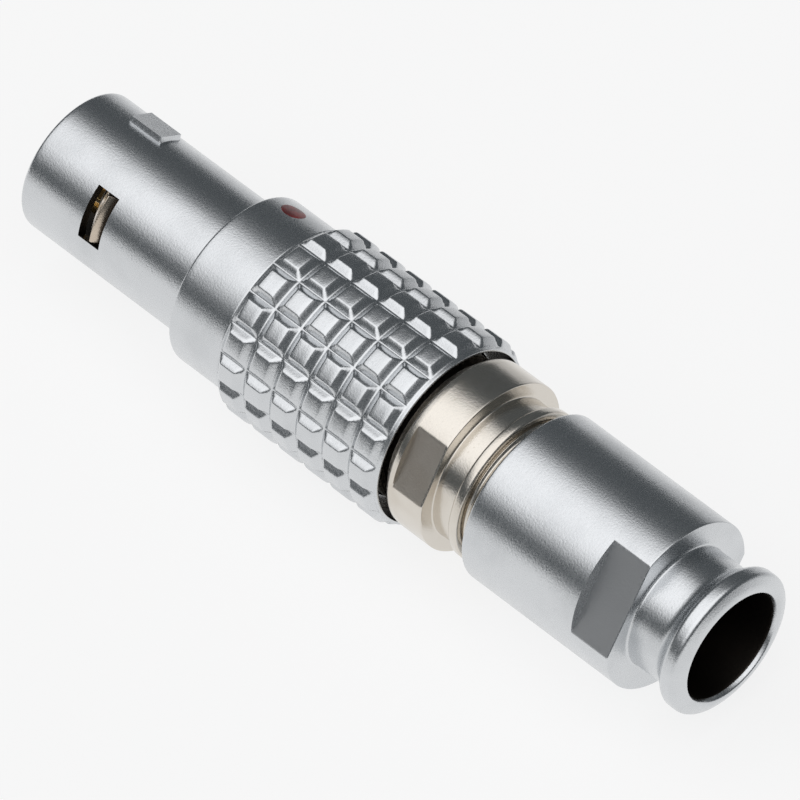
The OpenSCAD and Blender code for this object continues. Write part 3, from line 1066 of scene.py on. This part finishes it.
@dataclass
class BackNut:
    """The screwed nut that clamps the cable: flats, neck, flange and cable mouth."""

    axis: PlugAxis
    plug_len: float = 39.8
    front_s: float = 27.78
    nut_r: float = 4.2
    shoulder_s: float = 36.45
    neck_r: float = 3.0
    flange_r: float = 3.55
    cable_r: float = 2.66
    thread_bore_r: float = 3.5
    collet_bore_r: float = 3.0
    thread_end_s: float = 32.2
    seat_s: float = 36.3
    seat_cone: float = 0.7
    flats: WrenchFlats = WrenchFlats(across=7.0, roll=53.5, start=34.34, stop=36.45)

    def points(self) -> list[Point]:
        """Return the nut's closed outline."""
        end = self.plug_len
        body = outline([
            Corner(self.front_s, self.thread_bore_r), Corner(self.front_s, self.nut_r, 0.10),
            Corner(self.flats.start - 0.012, self.nut_r),
        ], closed=False)
        flat = [(self.flats.start + 0.001, self.nut_r), (self.flats.start + 0.06, self.nut_r),
                (self.shoulder_s - 0.16, self.nut_r)]
        mouth = outline([
            Corner(self.shoulder_s - 0.12, self.nut_r), Corner(self.shoulder_s, self.nut_r, 0.07),
            Corner(self.shoulder_s, self.neck_r, 0.14), Corner(end - 1.45, self.neck_r, 0.3),
            Corner(end - 1.0, self.flange_r - 0.08, 0.2), Corner(end - 0.86, self.flange_r, 0.08),
            Corner(end - 0.30, self.flange_r, 0.16),
            Corner(end - 0.06, self.cable_r + 0.42, 0.12), Corner(end, self.cable_r + 0.24, 0.08),
            Corner(end - 0.02, self.cable_r + 0.10, 0.08), Corner(end - 0.24, self.cable_r, 0.12),
            Corner(self.seat_s, self.cable_r, 0.05),
            Corner(self.seat_s - self.seat_cone, self.collet_bore_r, 0.05),
            Corner(self.thread_end_s, self.collet_bore_r, 0.03),
            Corner(self.thread_end_s, self.thread_bore_r, 0.03),
            Corner(self.front_s + 0.1, self.thread_bore_r),
        ], closed=False, steps=5)
        return body + flat + mouth

    def shape(self, station: float, radius: float, angle: float) -> tuple[float, float, float]:
        """Cut the flats into the plain turned nut."""
        if radius > self.thread_bore_r:
            radius = self.flats.cut(station, radius, angle)
        return station, radius, angle

    def build(self) -> bpy.types.Object:
        """Build the nut's mesh and return the piece."""
        angles = with_lines(even_angles(192), self.flats.lines(self.nut_r), 0.5)
        return turned("back_nut_turned", self.axis, self.points(), angles, self.shape, sharp=46.0)

    def is_inside(self, spot: Vector, normal: Vector) -> bool:
        """Say whether a face of the nut lies in its bore, past the rounded mouth."""
        station, radius = self.axis.measure(spot)
        in_bore = radius < self.thread_bore_r + 0.01 and station < self.plug_len - 0.2
        return in_bore and self.axis.outward(spot, normal) < 0

    def dress(self, piece: bpy.types.Object, finishes: Finishes) -> None:
        """Finish the nut and let it stand for its CAD node."""
        finishes.dress(piece, Slot.NUT)
        finishes.detail(piece, Detail.NUT_FLAT, lambda spot, _normal: self.flats.holds(spot, self.axis))
        # The nut's bore gets the painted shade.
        finishes.detail(piece, Detail.PAINTED_SHADE_BORE, self.is_inside)
        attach(piece, Body.NUT.value)
        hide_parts("back_nut")


# ---------------------------------------------------------------- contacts


@dataclass
class ContactPin:
    """One turned, gold-plated contact pin."""

    axis: PlugAxis
    number: int
    circle_r: float = 1.2
    around: int = 6
    key_angle: float = -34.0
    tip_s: float = 1.0
    body_s: float = 3.42
    end_s: float = 15.8
    pin_r: float = 0.25
    body_r: float = 0.38

    def build(self) -> bpy.types.Object:
        """Build the pin's mesh and return the piece."""
        place_r = 0.0 if self.number == 1 else self.circle_r
        place_angle = self.key_angle + (self.number - 1.5) * 360 / self.around
        centre = self.axis.point(0.0, place_r, place_angle)
        pin_axis = PlugAxis(tip_x=self.axis.tip_x, height=0.0)
        tip = [(self.tip_s + self.pin_r * (1 - math.cos(math.radians(15 * n))) * 0.9,
                max(self.pin_r * math.sin(math.radians(15 * n)), 0.003)) for n in range(7)]
        points = tip + outline([
            Corner(self.tip_s + 0.3, self.pin_r), Corner(self.body_s, self.pin_r),
            Corner(self.body_s, self.body_r), Corner(self.end_s, self.body_r, 0.03),
            Corner(self.end_s, self.body_r - 0.1, 0.03), Corner(self.end_s - 1.5, self.body_r - 0.1),
            Corner(self.end_s - 1.6, 0.003),
        ], closed=False)
        piece = turned(f"pin_contact_{self.number}_turned", pin_axis, points, even_angles(32), closed=False)
        for vert in piece.data.vertices:
            vert.co.y += centre.y
            vert.co.z += centre.z
        return piece

    def dress(self, piece: bpy.types.Object, finishes: Finishes) -> None:
        """Finish the pin and let it stand for its CAD node."""
        finishes.dress(piece, Slot.CONTACT)
        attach(piece, Body.CORE.value)
        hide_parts(f"pin_contact_{self.number}")


# ------------------------------------------------------------- the studio


@dataclass(frozen=True)
class Studio:
    """A pale floor under a soft light that leans towards +Y, with a darker room round it, and a painted glow
    in the floor's reflections that fades out towards -Y.
    """

    room: Colour = (0.084, 0.093, 0.099)
    light: Colour = (1.34, 1.34, 1.35)
    light_way: Colour = (0.0, 0.306, 0.952)
    light_from: float = 0.60
    light_full: float = 0.86
    painted_reflection_fade_y: tuple[float, float] = (-0.033, -0.009)
    floor_colour: Colour = (0.93, 0.93, 0.93)
    floor_glow: float = 0.82
    floor_half: float = 2.0

    def floor(self) -> bpy.types.Object:
        """Build the floor and return it."""
        bm = bmesh.new()
        h = self.floor_half
        bm.faces.new([bm.verts.new(p) for p in ((-h, -h, 0), (h, -h, 0), (h, h, 0), (-h, h, 0))])
        piece = piece_from(bm, "studio_floor")
        material, g = Graph.for_material("studio_floor")
        path = g.node("ShaderNodeLightPath")
        # Painted reflection: the floor's glow shows in reflections only towards +Y and fades out towards -Y,
        # so the metal reflects a darker floor on that side.
        near = g.number("ShaderNodeSeparateXYZ", {}, {0: g.place()}, "Y").above(*self.painted_reflection_fade_y)
        seen = Value(g, path.outputs["Is Camera Ray"]).highest(near * path.outputs["Is Glossy Ray"])
        seen = seen.highest(path.outputs["Is Transmission Ray"])
        paper = g.node("ShaderNodeBsdfDiffuse", None, {"Color": self.floor_colour})
        glow = g.node("ShaderNodeEmission", None, {"Color": (1.0, 1.0, 1.0), "Strength": 1.0})
        both = g.node("ShaderNodeMixShader", None,
                      {0: seen * self.floor_glow, 1: paper.outputs[0], 2: glow.outputs[0]})
        g.node("ShaderNodeOutputMaterial", None, {"Surface": both.outputs[0]})
        piece.data.materials.append(material)
        return piece

    def world(self) -> None:
        """Build the light: soft light above, a dark room round it, and white for the camera."""
        world = bpy.data.worlds.new("studio")
        world.use_nodes = True
        bpy.context.scene.world = world
        g = Graph(world.node_tree)
        way = g.node("ShaderNodeTexCoord").outputs["Generated"]
        facing = g.number("ShaderNodeVectorMath", {"operation": "DOT_PRODUCT"},
                          {0: way, 1: self.light_way}, "Value")
        share = facing.above(self.light_from, self.light_full)
        shade = g.blend(share, self.room, self.light)
        path = g.node("ShaderNodeLightPath")
        shade = g.blend(path.outputs["Is Camera Ray"], shade, (1.0, 1.0, 1.0))
        glow = g.node("ShaderNodeBackground", None, {"Color": shade, "Strength": 1.0})
        g.node("ShaderNodeOutputWorld", None, {"Surface": glow.outputs[0]})

    def build(self) -> None:
        """Build the floor and the light."""
        self.floor()
        self.world()
        bpy.context.scene.view_settings.view_transform = "Standard"


@dataclass(frozen=True)
class Viewpoint:
    """The camera: where the plug points in the picture, and how far off it is."""

    axis: PlugAxis
    heading: float = 36.67
    lean: float = 61.9957
    roll: float = 60.66
    aim_station: float = 13.24
    aim_right: float = -4.743
    aim_down: float = -3.519
    distance: float = 505.7
    lens: float = 526.05
    sensor: float = 36.0

    def build(self) -> bpy.types.Object:
        """Build the camera, make it the scene's own and return it."""
        heading, lean, roll = (math.radians(a) for a in (self.heading, self.lean, self.roll))
        to_cable = Vector((math.cos(heading) * math.sin(lean), math.sin(heading) * math.sin(lean),
                           -math.cos(lean)))
        level = Vector((math.sin(heading), -math.cos(heading), 0))
        cross = to_cable.cross(level)
        up = math.cos(roll) * level + math.sin(roll) * cross
        side = math.cos(roll) * cross - math.sin(roll) * level
        right, down, ahead = (Vector((-to_cable[k], side[k], up[k])) for k in range(3))
        aim = self.axis.point(self.aim_station, 0.0, 0.0)
        place = aim - (self.aim_right * right + self.aim_down * down + self.distance * ahead) * MM
        data = bpy.data.cameras.new("camera")
        data.sensor_width = self.sensor
        data.lens = self.lens
        data.clip_start, data.clip_end = 0.01, 10.0
        camera = bpy.data.objects.new("camera", data)
        matrix = Matrix((right, -down, -ahead)).transposed().to_4x4()
        matrix.translation = place
        camera.matrix_world = matrix
        bpy.context.scene.collection.objects.link(camera)
        bpy.context.scene.camera = camera
        return camera


# ------------------------------------------------------------------- main


def main() -> None:
    """Build every sub-assembly in order, then the studio and the camera."""
    logging.basicConfig(level=logging.INFO, format="%(name)s: %(message)s")
    axis = PlugAxis.from_frame()
    finishes = Finishes()
    parts: list[Any] = [
        OuterShell(axis), IndexDot(axis), LatchSleeve(axis),
        LatchFinger(axis, "a", 56.0, Body.FINGER_A), LatchFinger(axis, "b", 236.0, Body.FINGER_B),
        BackNut(axis), *(ContactPin(axis, n) for n in range(1, 8)),
    ]
    for part in parts:
        piece = part.build()
        part.dress(piece, finishes)
        LOG.info("%s: %d faces", piece.name, len(piece.data.polygons))
    for node, slot in (("contact_insulator", Slot.INSULATOR), ("half_bushing_a", Slot.BUSHING),
                       ("half_bushing_b", Slot.BUSHING), ("cable_collet", Slot.COLLET)):
        finishes.redress(node, slot)
        LOG.info("%s: finish %s", node, slot.value)
    Studio().build()
    Viewpoint(axis).build()


if __name__ == "__main__":
    main()
